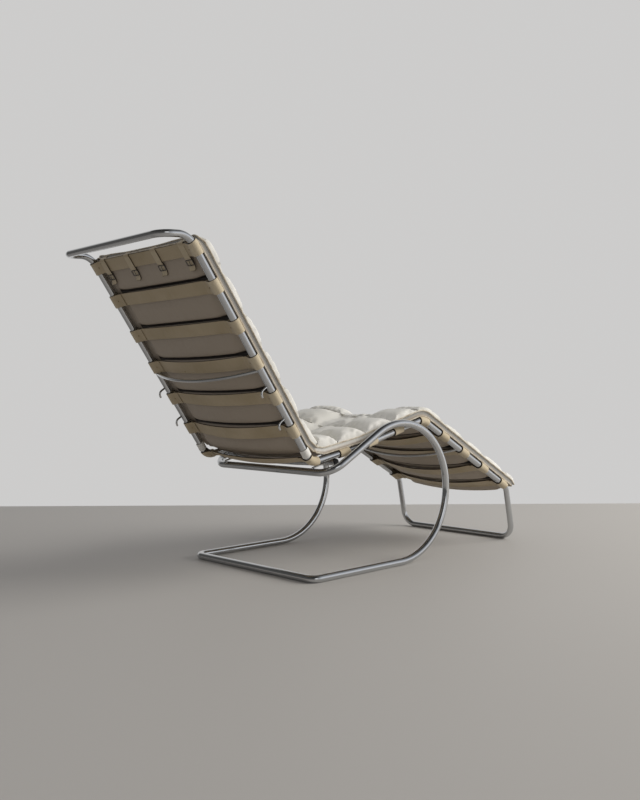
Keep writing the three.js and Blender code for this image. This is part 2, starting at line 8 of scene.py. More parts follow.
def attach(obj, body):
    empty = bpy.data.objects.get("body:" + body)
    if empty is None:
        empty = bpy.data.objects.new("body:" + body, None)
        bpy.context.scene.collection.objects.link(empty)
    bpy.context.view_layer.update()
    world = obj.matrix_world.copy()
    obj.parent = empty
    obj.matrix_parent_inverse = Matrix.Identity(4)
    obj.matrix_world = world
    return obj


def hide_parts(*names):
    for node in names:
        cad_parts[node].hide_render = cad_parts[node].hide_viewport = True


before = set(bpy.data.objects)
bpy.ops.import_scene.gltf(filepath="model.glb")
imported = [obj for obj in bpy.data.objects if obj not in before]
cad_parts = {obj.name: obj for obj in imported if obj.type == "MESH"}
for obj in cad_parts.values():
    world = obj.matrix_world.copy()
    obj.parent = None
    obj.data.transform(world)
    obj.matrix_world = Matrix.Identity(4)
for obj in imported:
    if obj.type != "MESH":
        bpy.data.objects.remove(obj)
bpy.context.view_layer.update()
scene = bpy.context.scene

# Camera. It stands behind the chair on the sitter's right, a little above the seat, and looks
# almost level across the room.
eye = Vector((-2.2816, 2.0246, 0.5739))
yaw, pitch, roll = 0.83556, -0.019257, -0.017339
camera_data = bpy.data.cameras.new("camera")
camera_data.lens = 42.31
camera = bpy.data.objects.new("camera", camera_data)
scene.collection.objects.link(camera)
ahead = Vector((math.sin(yaw) * math.cos(pitch), -math.cos(yaw) * math.cos(pitch), math.sin(pitch)))
rightward = Vector((-math.cos(yaw), -math.sin(yaw), 0))
upright = rightward.cross(ahead)
frame_right = rightward * math.cos(roll) + upright * math.sin(roll)
frame_up = upright * math.cos(roll) - rightward * math.sin(roll)
turn = Matrix((frame_right, frame_up, -ahead)).transposed()
camera.matrix_world = Matrix.Translation(eye) @ turn.to_4x4()
scene.camera = camera

# Base loop: one length of 22 mm steel tube, drawn round a bender, closed by a weld in its rear
# bar, polished and chrome plated. Its rear bar and runners lie on the floor, its noses rise at
# the front, and its crossbar passes under the seat and carries the whole upper part.
tube_sides = 40
bend_step = math.radians(3)
shortest_run = 0.00001
base_radius = 0.0111
base_half = 0.287
elbow_y = 0.23508
rear_bar_y = elbow_y + 0.0231
nose_y = elbow_y - 0.5599
crossbar_y = elbow_y - 0.0527
rear_corner_radius, crossbar_corner_radius = 0.026, 0.0547
lower_nose_radius, upper_nose_radius = 0.222, 0.2088
arm_slope = math.radians(28.76)
nose_bend_setback = upper_nose_radius * math.tan(math.pi / 4 + arm_slope / 2)
nose_top = base_radius + lower_nose_radius + nose_bend_setback
crossbar_z = nose_top - (crossbar_y - nose_y) * math.tan(arm_slope)


def bend_runs(corners, radii):
    """The straight runs and the bends of a tube, in order, from its corner points"""
    runs = []
    start = corners[0]
    for before, corner, after, radius in zip(corners, corners[1:], [*corners[2:], None], radii[1:]):
        heading = (corner - before).normalized()
        out = (after - corner).normalized() if radius else heading
        bend = heading.angle(out) if radius else 0
        setback = radius * math.tan(bend / 2)
        end = corner - heading * setback
        if (end - start).dot(heading) > shortest_run:
            length = (end - start).length
            runs.append({"start": start, "heading": heading, "length": length, "bend": 0})
        if bend:
            axis = heading.cross(out).normalized()
            runs.append({
                "start": end, "heading": heading, "length": radius * bend, "bend": bend,
                "axis": axis, "centre": end + axis.cross(heading) * radius,
            })
        start = corner + out * setback
    return runs


def verts_in(geometry):
    """The corners among the parts that an operator returns"""
    return [part for part in geometry if isinstance(part, bmesh.types.BMVert)]


def edges_in(geometry):
    """The edges among the parts that an operator returns"""
    return [part for part in geometry if isinstance(part, bmesh.types.BMEdge)]


def draw_along(bm, edges, runs, step=bend_step):
    """Draws edges along the runs and returns where they end up"""
    for run in runs:
        if run["bend"]:
            made = bmesh.ops.spin(
                bm, geom=edges, cent=run["centre"], axis=run["axis"], angle=run["bend"],
                steps=math.ceil(run["bend"] / step),
            )["geom_last"]
        else:
            made = bmesh.ops.extrude_edge_only(bm, edges=edges)["geom"]
            bmesh.ops.translate(bm, verts=verts_in(made), vec=run["heading"] * run["length"])
        fresh = set(verts_in(made))
        edges = [edge for edge in edges_in(made) if fresh.issuperset(edge.verts)]
    return edges


def tube_ring(bm, radius, place, heading, sides=tube_sides):
    """A ring of edges square to the tube at its start"""
    facing = Matrix.Translation(place) @ heading.to_track_quat("Z", "Y").to_matrix().to_4x4()
    made = bmesh.ops.create_circle(bm, cap_ends=False, segments=sides, radius=radius, matrix=facing)
    return list({edge for vert in made["verts"] for edge in vert.link_edges})


def mirror_across(bm):
    """The other half of a piece that is the same either side of the chair's middle"""
    bmesh.ops.mirror(
        bm, geom=bm.verts[:] + bm.edges[:] + bm.faces[:], matrix=Matrix.Identity(4),
        merge_dist=0.00002, axis="X",
    )


def set_piece(bm, name, body, materials, nodes, crease=40):
    """Makes the finished mesh a piece that rides on its body and stands for its nodes"""
    bmesh.ops.recalc_face_normals(bm, faces=bm.faces[:])
    mesh = bpy.data.meshes.new(name)
    bm.to_mesh(mesh)
    bm.free()
    for material in materials:
        mesh.materials.append(material)
    mesh.polygons.foreach_set("use_smooth", [True] * len(mesh.polygons))
    mesh.set_sharp_from_angle(angle=math.radians(crease))
    piece = bpy.data.objects.new(name, mesh)
    scene.collection.objects.link(piece)
    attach(piece, body)
    if nodes:
        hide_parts(*nodes)
    return piece


def material_with(name, colour, roughness, metallic=0.0):
    """A material with its shader, ready for a pattern"""
    material = bpy.data.materials.new(name)
    material.use_nodes = True
    shader = material.node_tree.nodes["Principled BSDF"]
    shader.inputs["Base Color"].default_value = (*colour, 1)
    shader.inputs["Roughness"].default_value = roughness
    shader.inputs["Metallic"].default_value = metallic
    return material, material.node_tree, shader


def patches(tree, scale, detail, stretch=(1, 1, 1)):
    """Cloudy noise over the piece"""
    place = tree.nodes.new("ShaderNodeTexCoord")
    mapping = tree.nodes.new("ShaderNodeMapping")
    mapping.inputs["Scale"].default_value = stretch
    cloud = tree.nodes.new("ShaderNodeTexNoise")
    cloud.inputs["Scale"].default_value = scale
    cloud.inputs["Detail"].default_value = detail
    tree.links.new(place.outputs["Object"], mapping.inputs["Vector"])
    tree.links.new(mapping.outputs["Vector"], cloud.inputs["Vector"])
    return cloud.outputs["Fac"]


def between(tree, amount, low, high, from_low=0.3, from_high=0.7):
    """A number that follows an amount between two ends"""
    spread = tree.nodes.new("ShaderNodeMapRange")
    spread.inputs["From Min"].default_value = from_low
    spread.inputs["From Max"].default_value = from_high
    spread.inputs["To Min"].default_value = low
    spread.inputs["To Max"].default_value = high
    tree.links.new(amount, spread.inputs["Value"])
    return spread.outputs["Result"]


def tinted(tree, amount, first, second):
    """A colour that follows an amount between two others, plain ones or ones from other nodes"""
    mix = tree.nodes.new("ShaderNodeMix")
    mix.data_type = "RGBA"
    for end, colour in (("A", first), ("B", second)):
        if isinstance(colour, bpy.types.NodeSocket):
            tree.links.new(colour, mix.inputs[end])
        else:
            mix.inputs[end].default_value = (*colour, 1)
    tree.links.new(amount, mix.inputs["Factor"])
    return mix.outputs["Result"]


def mottled(tree, shader, cloud, first, second):
    """Colours a finish from one tint to another as a cloudy noise goes"""
    tree.links.new(
        tinted(tree, between(tree, cloud, 0, 1), first, second), shader.inputs["Base Color"],
    )


def raised(tree, height, depth, strength, below=None):
    """A bump of a depth in metres, on top of another if there is one"""
    bump = tree.nodes.new("ShaderNodeBump")
    bump.inputs["Distance"].default_value = depth
    bump.inputs["Strength"].default_value = strength
    tree.links.new(height, bump.inputs["Height"])
    if below:
        tree.links.new(below, bump.inputs["Normal"])
    return bump.outputs["Normal"]


def plated(name, colour, smooth, wear_and_painted_light):
    """Bright plating with a faint orange peel, hazy patches and tiny dull specks"""
    material, tree, shader = material_with(name, colour, smooth, 1.0)
    haze = patches(tree, 14, 6)
    specks = patches(tree, 420, 2)
    peel = patches(tree, 160, 3)
    tree.links.new(between(tree, haze, smooth, wear_and_painted_light), shader.inputs["Roughness"])
    dull = [channel * 0.72 for channel in colour]
    speckled = tinted(tree, between(tree, specks, 0, 1, 0.66, 0.74), colour, dull)
    tree.links.new(speckled, shader.inputs["Base Color"])
    tree.links.new(raised(tree, peel, 0.0001, 0.12), shader.inputs["Normal"])
    return material


chrome = plated("polished_chrome", (0.60, 0.61, 0.62), 0.03, 0.10)
base_runs = bend_runs(
    [
        Vector((0, rear_bar_y, base_radius)),
        Vector((base_half, rear_bar_y, base_radius)),
        Vector((base_half, nose_y, base_radius)),
        Vector((base_half, nose_y, nose_top)),
        Vector((base_half, crossbar_y, crossbar_z)),
        Vector((0, crossbar_y, crossbar_z)),
    ],
    [0, rear_corner_radius, lower_nose_radius, upper_nose_radius, crossbar_corner_radius, 0],
)
bm = bmesh.new()
ring = tube_ring(bm, base_radius, base_runs[0]["start"], base_runs[0]["heading"])
draw_along(bm, ring, base_runs)
mirror_across(bm)
set_piece(bm, "base_loop", "base", [chrome], ["base_frame"])

# Upper loop: 20 mm steel tube, plated as the base is. It starts at the head bar, comes down the
# back, turns at the elbow into the seat, over the knee into the leg rest, and ends in the foot
# loop that stands on the floor. Its lengths are joined under the first and the last strap.
upper_radius = 0.010
upper_half = 0.257
handle_droop, handle_length = math.radians(2.6), 0.0836
back_slope, back_length = math.radians(56.73), 0.7406
elbow_height = 0.3417
seat_slope, seat_rear_length = math.radians(9.5), 0.1997
seat_front_slope, seat_front_length = math.radians(14.5), 0.295
leg_slope, leg_length = math.radians(30.26), 0.5062
foot_splay = math.radians(10.4)
head_corner_radius, foot_corner_radius = 0.037, 0.048
head_bend, elbow_bend, seat_bend, knee_bend, ankle_bend = 0.058, 0.034, 0.4, 0.058, 0.043


def side_point(start, angle, length):
    """A point in the chair's middle plane, by angle above the floor and length from another"""
    return start + Vector((0, length * math.cos(angle), length * math.sin(angle)))


elbow = Vector((0, elbow_y, elbow_height))
head = side_point(elbow, back_slope, back_length)
handle = side_point(head, -handle_droop, handle_length)
seat_blend = side_point(elbow, math.pi - seat_slope, seat_rear_length)
knee = side_point(seat_blend, math.pi - seat_front_slope, seat_front_length)
ankle = side_point(knee, math.pi + leg_slope, leg_length)
foot = Vector((0, ankle.y - (ankle.z - upper_radius) * math.tan(foot_splay), upper_radius))
side_corners = [handle, head, elbow, seat_blend, knee, ankle, foot]
side_radii = [0, head_bend, elbow_bend, seat_bend, knee_bend, ankle_bend, 0]
side_runs = bend_runs(side_corners, side_radii)
out_to_side = Vector((upper_half, 0, 0))
upper_runs = bend_runs(
    [handle, *[corner + out_to_side for corner in side_corners], foot],
    [0, head_corner_radius, *side_radii[1:-1], foot_corner_radius, 0],
)
bm = bmesh.new()
ring = tube_ring(bm, upper_radius, upper_runs[0]["start"], upper_runs[0]["heading"])
draw_along(bm, ring, upper_runs)
mirror_across(bm)
set_piece(
    bm, "upper_loop", "lounger", [chrome],
    ["head_bar", "rail_left", "rail_right", "foot_loop"],
)

# Stretchers: two thin rods, bowed away from the sitter and welded between the side tubes behind
# the back and under the legs, and a thicker piece of tube under the seat, with a plug in each
# end, that carries the lower hooks.
away_from_back = Vector((0, math.sin(back_slope), -math.cos(back_slope)))
away_from_leg = Vector((0, math.sin(leg_slope), -math.cos(leg_slope)))
away_from_seat = Vector((0, -math.sin(seat_slope), -math.cos(seat_slope)))
thin_rod, thick_rod = 0.005, 0.010
rod_half = upper_half - 0.004
rod_sides = 24
back_rod_place, back_rod_behind, back_rod_bow = 0.469 * back_length - 0.0255, 0.006, 0.0455
leg_rod_place, leg_rod_bow = 0.47 * leg_length - 0.0255, 0.0375
seat_rod_place, seat_rod_below, seat_rod_bow = 0.098, 0.0208, 0.010
plug_sides, plug_gap, plug_thickness, plug_rounding = 32, 0.0002, 0.0032, 0.0026


def bowed_bar(middle, away, half, bow, radius, name, node):
    """A round bar whose ends lie either side of a middle point and whose middle bows away"""
    sweep = 2 * math.atan(bow / half)
    bow_radius = half / math.sin(sweep)
    lowest = middle + away * bow
    sideways = Vector((1, 0, 0))
    bm = bmesh.new()
    ring = tube_ring(bm, radius, lowest, sideways, rod_sides)
    made = bmesh.ops.spin(
        bm, geom=ring, cent=lowest - away * bow_radius, axis=sideways.cross(-away), angle=sweep,
        steps=rod_sides,
    )["geom_last"]
    bmesh.ops.edgeloop_fill(bm, edges=edges_in(made))
    mirror_across(bm)
    return set_piece(bm, name, "lounger", [chrome], [node])


def on_back(distance, behind=0.0):
    """A point in the chair's middle plane, by distance up the back and behind its tubes"""
    return side_point(elbow, back_slope, distance) + away_from_back * behind


bowed_bar(
    on_back(back_rod_place, back_rod_behind), away_from_back, rod_half, back_rod_bow, thin_rod,
    "back_rod", "back_stretcher",
)
bowed_bar(
    side_point(knee, math.pi + leg_slope, leg_rod_place), away_from_leg, rod_half, leg_rod_bow,
    thin_rod, "leg_rod", "leg_stretcher",
)
seat_rod_middle = (
    side_point(elbow, math.pi - seat_slope, seat_rod_place) + away_from_seat * seat_rod_below
)
bowed_bar(
    seat_rod_middle, away_from_seat, upper_half, seat_rod_bow, thick_rod,
    "seat_rod", "seat_stretcher",
)

black_plastic, tree, shader = material_with("black_plastic", (0.012, 0.012, 0.011), 0.42)
scuffs = patches(tree, 300, 4)
tree.links.new(between(tree, scuffs, 0.32, 0.6), shader.inputs["Roughness"])
tree.links.new(raised(tree, scuffs, 0.0002, 0.3), shader.inputs["Normal"])
for side, way in (("left", 1), ("right", -1)):
    bm = bmesh.new()
    heading = Vector((way, 0, 0))
    tube_end = seat_rod_middle + heading * (upper_half + plug_gap)
    ring = tube_ring(bm, thick_rod, tube_end, heading, plug_sides)
    bmesh.ops.edgeloop_fill(bm, edges=ring)
    outer = verts_in(bmesh.ops.extrude_face_region(bm, geom=bm.faces[:])["geom"])
    bmesh.ops.translate(bm, verts=outer, vec=heading * plug_thickness)
    rim = [edge for edge in bm.edges if all(vert in outer for vert in edge.verts)]
    bmesh.ops.bevel(
        bm, geom=rim, offset=plug_rounding, offset_type="OFFSET", segments=4, profile=0.5,
        affect="EDGES", material=-1,
    )
    set_piece(
        bm, f"end_plug_{side}", "lounger", [black_plastic], [f"plug_{side}"],
    )

# Hooks: 6 mm wire, bent down and welded to the back tubes in two rows, in which the base's
# crossbar can hang. The lower pair leaves the thick stretcher and lies over the crossbar now.
hook_radius = 0.003
hook_sides = 16
hook_tip_rounding = 0.0018
hook_bend = 0.0148
hook_root, hook_reach = 0.008, 0.0378
hook_row_places = {"upper": 0.365 * back_length, "middle": 0.217 * back_length}
hook_free_end = hook_bend + 0.003
lower_hook_x = 0.749 * base_half
lower_hook_below = 0.003
lower_hook_wrap = math.radians(18)
lower_hook_tail = 0.0042
hook_steel = plated("hook_plating", (0.66, 0.66, 0.65), 0.12, 0.25)


def bent_wire(corners, radii, name, node):
    """A wire through corner points, with a rounded free end"""
    runs = bend_runs(corners, radii)
    bm = bmesh.new()
    ring = tube_ring(bm, hook_radius, runs[0]["start"], runs[0]["heading"], hook_sides)
    tip = draw_along(bm, ring, runs)
    bmesh.ops.edgeloop_fill(bm, edges=tip)
    bmesh.ops.edgeloop_fill(bm, edges=ring)
    bmesh.ops.bevel(
        bm, geom=tip, offset=hook_tip_rounding, offset_type="OFFSET", segments=3, profile=0.5,
        affect="EDGES", material=-1,
    )
    return set_piece(bm, name, "lounger", [hook_steel], [node])


for row, distance in hook_row_places.items():
    for side, way in (("left", 1), ("right", -1)):
        out = Vector((way * upper_half, 0, 0))
        bent_wire(
            [
                on_back(distance, hook_root) + out,
                on_back(distance, hook_reach) + out,
                on_back(distance - hook_free_end, hook_reach) + out,
            ],
            [0, hook_bend, 0], f"hook_wire_{row}_{side}", f"hook_{row}_{side}",
        )

lower_hook_root = seat_rod_middle + away_from_seat * lower_hook_below
to_crossbar = Vector((0, crossbar_y, crossbar_z)) - lower_hook_root
lift = math.asin(hook_bend / to_crossbar.length)
hook_heading = Matrix.Rotation(lift, 3, "X") @ to_crossbar.normalized()
hook_touch = lower_hook_root + hook_heading * math.sqrt(to_crossbar.length ** 2 - hook_bend ** 2)
hook_corner = hook_touch + hook_heading * hook_bend * math.tan(lower_hook_wrap / 2)
hook_end = hook_corner + Matrix.Rotation(-lower_hook_wrap, 3, "X") @ hook_heading * lower_hook_tail
for side, way in (("left", 1), ("right", -1)):
    out = Vector((way * lower_hook_x, 0, 0))
    bent_wire(
        [lower_hook_root + hook_heading * hook_root + out, hook_corner + out, hook_end + out],
        [0, hook_bend, 0], f"hook_wire_lower_{side}", f"hook_lower_{side}",
    )

# Straps: fifteen bands of 3 mm saddle leather with dark stained edges. Each lies across the loop
# under the pad, goes round both tubes and comes back behind itself, where a small brass stud holds
# its tail. Most have stretched and hang a little lower in their middle, and two keep an old tack.
strap_middles = [
    0.1175, 0.2323, 0.3560, 0.4708, 0.5893, 0.7041, 0.8207, 0.9456,
    1.0658, 1.1870, 1.3129, 1.4252, 1.5431, 1.6605, 1.7852,
]
strap_sags = [
    0, 0.0031, 0.0031, 0.0190, 0.0170, 0.0242, 0.0180, 0.0139, 0.0200, 0.0221,
    0.0200, 0.0350, 0.0159, 0.0329, 0.0242,
]
strap_half_width = 0.020
strap_thickness = 0.003
strap_cells = (168, 8)
wrap_radius = 0.0120
strap_layer = 0.00165
span_half = 0.227
strap_tail = 0.015
wrap_start = math.radians(69.62)
rise_length = math.hypot(0.0258, 0.0096)
wrap_length = wrap_radius * (2 * math.pi - 2 * wrap_start)
strap_half_length = span_half + rise_length + wrap_length + rise_length + strap_tail
lit_wrap_from, lit_wrap_over = 0.238, 0.02
skived_share = 0.18
stud_radius, stud_flatness, stud_stand = 0.0024, 0.45, 0.0013
stud_from_tail, stud_lean, stud_behind = 0.010, 0.0035, 0.0094
old_tacks = {3: (0.014, 0.01), 4: (0.014, 0.08)}


def side_at(length):
    """The side line's place and heading at a length from the corner of the handle"""
    for run in side_runs:
        if length <= run["length"]:
            break
        length -= run["length"]
    if not run["bend"]:
        return run["start"] + run["heading"] * length, run["heading"]
    turned = Matrix.Rotation(run["bend"] * length / run["length"], 3, run["axis"])
    return run["centre"] + turned @ (run["start"] - run["centre"]), turned @ run["heading"]


def over_loop(length, sideways, rise):
    """A point beside the side line and above it, towards the sitter"""
    place, heading = side_at(length)
    return place + Vector((sideways, 0, 0)) + Vector((0, heading.z, -heading.y)) * rise


def strap_line(along, sag):
    """The strap's way from its middle out, round the tube and back, as a distance out and a rise"""
    if along < span_half:
        return along, strap_layer - sag * (1 - (along / span_half) ** 2)
    along -= span_half
    tangent = Vector((
        upper_half - wrap_radius * math.cos(wrap_start), wrap_radius * math.sin(wrap_start),
    ))
    if along < rise_length:
        return Vector((span_half, strap_layer)).lerp(tangent, along / rise_length)
    along -= rise_length
    if along < wrap_length:
        angle = wrap_start + along / wrap_radius
        return upper_half - wrap_radius * math.cos(angle), wrap_radius * math.sin(angle)
    along -= wrap_length
    if along < rise_length:
        left_tube = Vector((tangent.x, -tangent.y))
        return left_tube.lerp(Vector((span_half, -strap_layer)), along / rise_length)
    out = span_half - (along - rise_length)
    return out, -strap_layer - sag * (1 - (out / span_half) ** 2)


def cut_from_hide(piece, thickness, offset, rounding, segments):
    """Gives a flat piece of hide its thickness and softly rounded edges"""
    thick = piece.modifiers.new("thickness", "SOLIDIFY")
    thick.thickness = thickness
    thick.offset = offset
    thick.material_offset_rim = 1
    rounded = piece.modifiers.new("cut_edge", "BEVEL")
    rounded.width = rounding
    rounded.segments = segments
    rounded.limit_method = "ANGLE"
    rounded.angle_limit = math.radians(60)
    return thick


saddle_leather, tree, shader = material_with("saddle_leather", (0.52, 0.42, 0.26), 0.55)
stains = patches(tree, 9, 6)
pores = patches(tree, 900, 3)
creases = patches(tree, 120, 5, (1, 0.35, 0.35))
# Painted light: the attribute read here colours the straps lighter and warmer where they wrap round
# the tubes, as if lit there, and leaves the span between them darker, as if in shade.
wear_and_painted_light = tree.nodes.new("ShaderNodeAttribute")
wear_and_painted_light.attribute_name = "painted_light"
cream = tinted(tree, between(tree, stains, 0, 1), (0.48, 0.39, 0.26), (0.38, 0.30, 0.18))
lit_wraps_colour = tinted(
    tree, between(tree, wear_and_painted_light.outputs["Fac"], 0, 0.75, 0, 1), cream, (0.66, 0.57, 0.41),
)
tree.links.new(lit_wraps_colour, shader.inputs["Base Color"])
tree.links.new(between(tree, creases, 0.42, 0.62), shader.inputs["Roughness"])
grain = raised(tree, pores, 0.0003, 0.35)
tree.links.new(raised(tree, creases, 0.0009, 0.35, grain), shader.inputs["Normal"])
shader.inputs["Sheen Weight"].default_value = 0.05

stained_edge, tree, shader = material_with("stained_edge", (0.030, 0.019, 0.012), 0.5)
fibres = patches(tree, 700, 3, (1, 4, 4))
mottled(tree, shader, fibres, (0.022, 0.014, 0.009), (0.060, 0.038, 0.024))
tree.links.new(raised(tree, fibres, 0.0004, 0.5), shader.inputs["Normal"])

stud_brass, tree, shader = material_with("stud_brass", (0.25, 0.17, 0.08), 0.35, 1.0)
tarnish = patches(tree, 500, 4)
tree.links.new(between(tree, tarnish, 0.25, 0.55), shader.inputs["Roughness"])
mottled(tree, shader, tarnish, (0.30, 0.20, 0.09), (0.12, 0.08, 0.05))

for number, (middle, sag) in enumerate(zip(strap_middles, strap_sags), 1):
    bm = bmesh.new()
    bmesh.ops.create_grid(bm, x_segments=strap_cells[0], y_segments=strap_cells[1], size=0.5)
    painted_light = bm.verts.layers.float.new("painted_light")
    bm.verts.index_update()
    tail_ends = {vert.index for vert in bm.verts if abs(vert.co.x) > 0.4999}
    for vert in bm.verts:
        along, beside = abs(vert.co.x) * 2 * strap_half_length, vert.co.y * 2
        way = 1 if vert.co.x > 0 else -1
        out, rise = strap_line(along, sag)
        wander = noise.noise(Vector((way * along * 9, beside * 0.3, number * 7.3)))
        cup = noise.noise(Vector((way * along * 5, number * 3.1, 0.5)))
        free = max(0.0, 1 - along / span_half)
        width = strap_half_width * (1 + 0.02 * wander)
        # Painted light: the wraps round the tubes are marked to be coloured lighter, as if lit.
        at_wrap = min(1.0, max(0.0, (out - lit_wrap_from) / lit_wrap_over))
        vert[painted_light] = at_wrap * (0.75 + 0.5 * cup)
        rise += free * (0.0010 * cup - 0.0012 * beside ** 2)
        vert.co = over_loop(middle + beside * width + 0.0008 * wander * free, way * out, rise)
    for face in bm.faces:
        if any(vert.index in tail_ends for vert in face.verts):
            face.material_index = 2
    strap = set_piece(
        bm, f"strap_band_{number:02d}", "lounger",
        [saddle_leather, stained_edge, saddle_leather, saddle_leather], [f"strap_{number:02d}"],
    )
    skived = strap.vertex_groups.new(name="full")
    for vert in strap.data.vertices:
        skived.add([vert.index], skived_share if vert.index in tail_ends else 1.0, "REPLACE")
    thick = cut_from_hide(strap, strap_thickness, 0, 0.0005, 2)
    thick.vertex_group = "full"
    thick.use_even_offset = True

    bm = bmesh.new()
    out, rise = strap_line(strap_half_length - strap_tail - stud_from_tail, sag)
    studs = [
        (0, out, rise, stud_lean, -stud_behind), (0, -out, rise, -stud_lean, -stud_behind),
    ]
    if number in old_tacks:
        lower, out = old_tacks[number]
        studs.append((lower, out, strap_line(abs(out), sag)[1], 0, -1))
    for lower, out, rise, aside, below in studs:
        spot = over_loop(middle + lower, out, rise)
        outward = (over_loop(middle + lower, out + aside, rise + below) - spot).normalized()
        facing = outward.to_track_quat("Z", "Y").to_matrix().to_4x4()
        seat = Matrix.Translation(spot + outward * stud_stand) @ facing
        dome = bmesh.ops.create_uvsphere(
            bm, u_segments=16, v_segments=8, radius=stud_radius, matrix=seat,
        )["verts"]
        bmesh.ops.scale(bm, verts=dome, vec=(1, 1, stud_flatness), space=seat.inverted())
    set_piece(bm, f"strap_studs_{number:02d}", "lounger", [stud_brass], [])

# Pad: one long cushion of soft off-white leather over foam and feathers. Seams sewn through it
# above each strap part it into fifteen rolls, a border between two corded seams goes round it,
# and its middle sinks with the straps. It is shaped laid out flat, a row of points at a time.
pad_half = 0.262
pad_begin, pad_end = 0.0972, 1.8501
pad_rest = 0.0141
border = 0.018
elbow_seam = 0.81556
knee_seam = 1.2885
seams = [middle - strap_half_width for middle in strap_middles] + [pad_end]
seams[0], seams[6], seams[10] = pad_begin, elbow_seam, knee_seam
roll_fill = [
    0.92, 0.92, 0.92, 0.92, 0.92, 0.94, 1.22, 1.10, 0.94, 0.78, 0.80, 0.78, 0.78, 0.80, 0.80,
]
seat_rolls = range(6, 10)
far_side_flatter = 0.21
roll_thickness = 0.038
middle_thickness = 0.032
seam_thickness = 0.017
seat_stitch, leg_stitch = 0.0015, 0.0045
groove_depth, groove_width, groove_widening = 0.010, 0.0050, 0.0040
belly_depth = 0.0030
underside_rest = 0.0040
end_squash, end_squash_reach = 0.42, 0.016
border_pull, border_gather = 0.003, 0.0022
roll_overhang = 0.005
seam_mark, corded_mark = 0.0028, 0.0015
head_corner, foot_corner = 0.018, 0.007
foot_draw_in, foot_draw_reach = 0.011, 0.033
ankle_start = 1.7917
row_spacing = 0.0046
rows_in_roll = [max(8, round((high - low) / row_spacing)) for low, high in zip(seams, seams[1:])]
row_count = sum(rows_in_roll)
columns = 112
same_place = 0.0001


def soft_step(amount):
    """Eases from 0 to 1 as an amount goes from 0 to 1"""
    amount = min(1.0, max(0.0, amount))
    return amount * amount * (3 - 2 * amount)


def sag_below(length):
    """How far the straps hang below the tubes in their middle, at a length"""
    if length <= strap_middles[0]:
        return strap_sags[0]
    for number in range(1, len(strap_middles)):
        if length < strap_middles[number]:
            low, high = strap_middles[number - 1], strap_middles[number]
            share = soft_step((length - low) / (high - low))
            return strap_sags[number - 1] + (strap_sags[number] - strap_sags[number - 1]) * share
    return strap_sags[-1]


def pad_row(row):
    """A row's length, its roll and where it lies in the roll, from 0 to 1"""
    for roll, count in enumerate(rows_in_roll):
        if row <= count:
            break
        row -= count
    share = row / count
    share -= 0.35 * math.sin(2 * math.pi * share) / (2 * math.pi)
    return seams[roll] + (seams[roll + 1] - seams[roll]) * share, roll, share


def roll_bulge(share):
    """How far a roll swells between its two seams, from 0 to 1"""
    return math.sqrt(max(0.0, 1 - (2 * share - 1) ** 2))


def groove_at(length, out):
    """How near a spot is to the groove that a seam draws into the underside above its strap"""
    width = groove_width + groove_widening * soft_step((out - 0.17) / 0.05)
    return math.exp(-(min(abs(length - seam + 0.003) for seam in seams[1:-1]) / width) ** 2)


def pad_floor(sideways, length):
    """The pad's underside: on the tubes at its sides, on the sagging straps in between"""
    out = abs(sideways)
    hang = 0.75 * sag_below(length) * max(0.0, 1 - (out / span_half) ** 2)
    nearest = min(abs(length - middle) for middle in strap_middles)
    between_straps = soft_step((nearest - strap_half_width) / 0.03)
    belly = belly_depth * between_straps * soft_step((0.22 - out) / 0.03)
    low = underside_rest - hang - belly + groove_depth * groove_at(length, out)
    return low + (pad_rest - low) * soft_step((out - 0.200) / 0.044)


def pad_crown(sideways, length, roll, share):
    """The pad's top: full rolls at the sides, with a soft hollow along the middle"""
    out = abs(sideways)
    full = roll_bulge(share)
    stitched = seam_thickness + (leg_stitch if length > knee_seam else seat_stitch)
    flatter = far_side_flatter * soft_step((sideways + 0.02) / 0.15) * (roll in seat_rolls)
    fill = roll_fill[roll] * (1 - flatter)
    side_thick = stitched + (roll_thickness * fill - stitched) * full
    middle_thick = seam_thickness + (middle_thickness - seam_thickness) * full
    underside = pad_floor(sideways, length) - groove_depth * groove_at(length, out)
    hollow = underside + middle_thick
    height = hollow + (pad_rest + side_thick - hollow) * soft_step((out - 0.06) / 0.13)
    round_over = max(0.0, 1 - max(0.0, (out - 0.230) / 0.032) ** 3.4) ** 0.3
    edge = pad_rest + border
    return edge + (height - edge) * round_over


def rounded_corner(sideways, length, from_end, corner, inward):
    """Brings a point near one of the pad's four corners onto the corner's arc"""
    beside, beyond = 1 - (pad_half - abs(sideways)) / corner, 1 - from_end / corner
    if beside <= 0 or beyond <= 0:
        return sideways, length
    rounding = max(beside, beyond) / math.hypot(beside, beyond)
    sideways -= math.copysign(corner * beside * (1 - rounding), sideways)
    return sideways, length + corner * beyond * (1 - rounding) * inward


